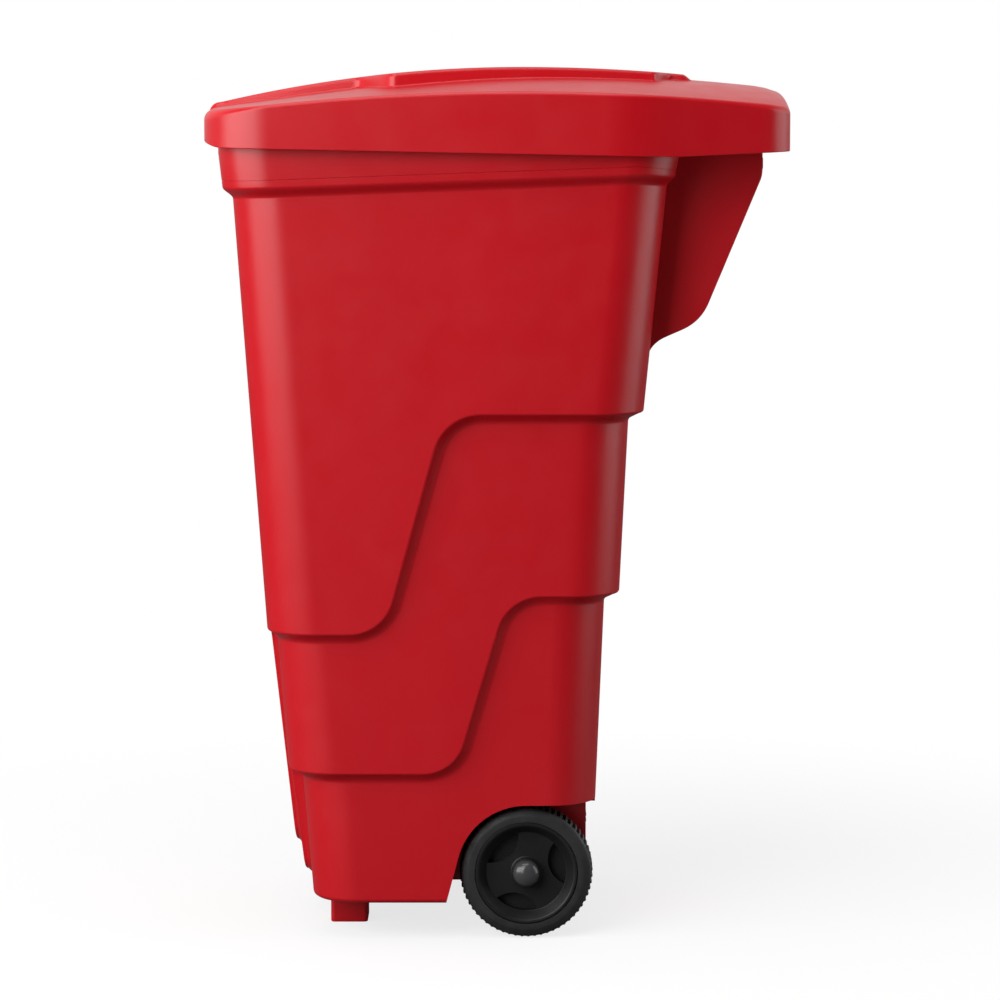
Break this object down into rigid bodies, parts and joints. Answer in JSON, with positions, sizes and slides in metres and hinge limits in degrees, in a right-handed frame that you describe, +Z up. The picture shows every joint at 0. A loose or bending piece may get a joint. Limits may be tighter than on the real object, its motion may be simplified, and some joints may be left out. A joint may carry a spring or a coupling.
{
  "type": "wheeled waste bin",
  "caption": "Tall tapered moulded bin with stepped swept tiers, an overhanging hinged lid, a rear grip handle and a wheeled axle at the rear base.",
  "frame": {"origin": "on the ground under the middle of the outer box", "axes": "+Z up, +Y towards the handle, the hinge and the wheels, +X along the axle"},
  "size_m": [0.497, 0.592, 0.8985],
  "materials": {
    "red_plastic": "satin moulded polyethylene with a fine grain",
    "tyre_rubber": "matt solid rubber with cross lugs",
    "black_plastic": "satin moulded plastic",
    "grey_plastic": "smooth domed push-on cap",
    "axle_steel": "bright zinc plated"
  },
  "bodies": {
    "body": {"body": "red_plastic", "axle": "axle_steel", "hinge_pin_left": "black_plastic", "hinge_pin_right": "black_plastic", "axle_cap_left": "grey_plastic", "axle_cap_right": "grey_plastic", "axle_washer_left": "axle_steel", "axle_washer_right": "axle_steel"},
    "lid": {"lid": "red_plastic"},
    "wheel_left": {"wheel_hub_left": "black_plastic", "tyre_left": "tyre_rubber"},
    "wheel_right": {"wheel_hub_right": "black_plastic", "tyre_right": "tyre_rubber"}
  },
  "joints": [
    {"name": "lid_hinge", "type": "hinge", "parent": "body", "child": "lid", "pos_m": [0, 0.258, 0.822], "axis": [-1, 0, 0], "range_deg": [0, 105]},
    {"name": "wheel_left_spin", "type": "hinge", "parent": "body", "child": "wheel_left", "pos_m": [-0.1491, 0.03, 0.0689], "axis": [1, 0, 0], "continuous": true},
    {"name": "wheel_right_spin", "type": "hinge", "parent": "body", "child": "wheel_right", "pos_m": [0.1491, 0.03, 0.0689], "axis": [1, 0, 0], "continuous": true}
  ]
}
